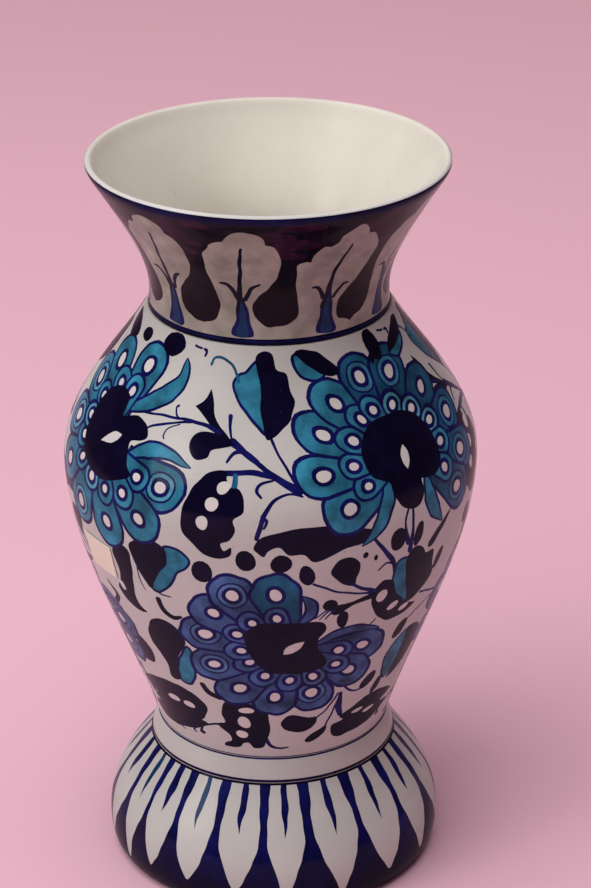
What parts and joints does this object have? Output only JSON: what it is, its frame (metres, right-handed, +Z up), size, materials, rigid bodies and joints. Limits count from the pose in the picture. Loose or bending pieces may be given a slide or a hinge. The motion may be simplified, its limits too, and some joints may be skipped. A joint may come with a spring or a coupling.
{
  "type": "painted pottery vase",
  "caption": "Free-standing round vase with a flared mouth, a narrow neck, a wide belly and a hollow bell foot.",
  "frame": {"origin": "centre of the flat foot ring, on the surface that the vase stands on", "axes": "+Z up along the vase's axis, towards its mouth; -Y towards the painted side shown as the front"},
  "size_m": [0.1394, 0.1394, 0.254],
  "materials": {
    "glazed_neck": "near-black navy band with ivory leaves under a clear gloss glaze; ivory inside",
    "glazed_belly": "ivory ground painted in turquoise, cobalt and navy flowers under a clear gloss glaze",
    "glazed_foot": "ivory tongues on cobalt under a clear gloss glaze, bare clay on the foot ring",
    "glazed_collar": "plain ivory gloss glaze",
    "glazed_slip_ring": "navy band under a clear gloss glaze",
    "paper_label": "blank, slightly yellowed matt paper"
  },
  "bodies": {
    "root": {"foot_section": "glazed_foot", "waist_collar": "glazed_collar", "belly_section": "glazed_belly", "neck_luting_ring": "glazed_slip_ring", "neck_section": "glazed_neck", "price_label": "paper_label"}
  },
  "joints": []
}
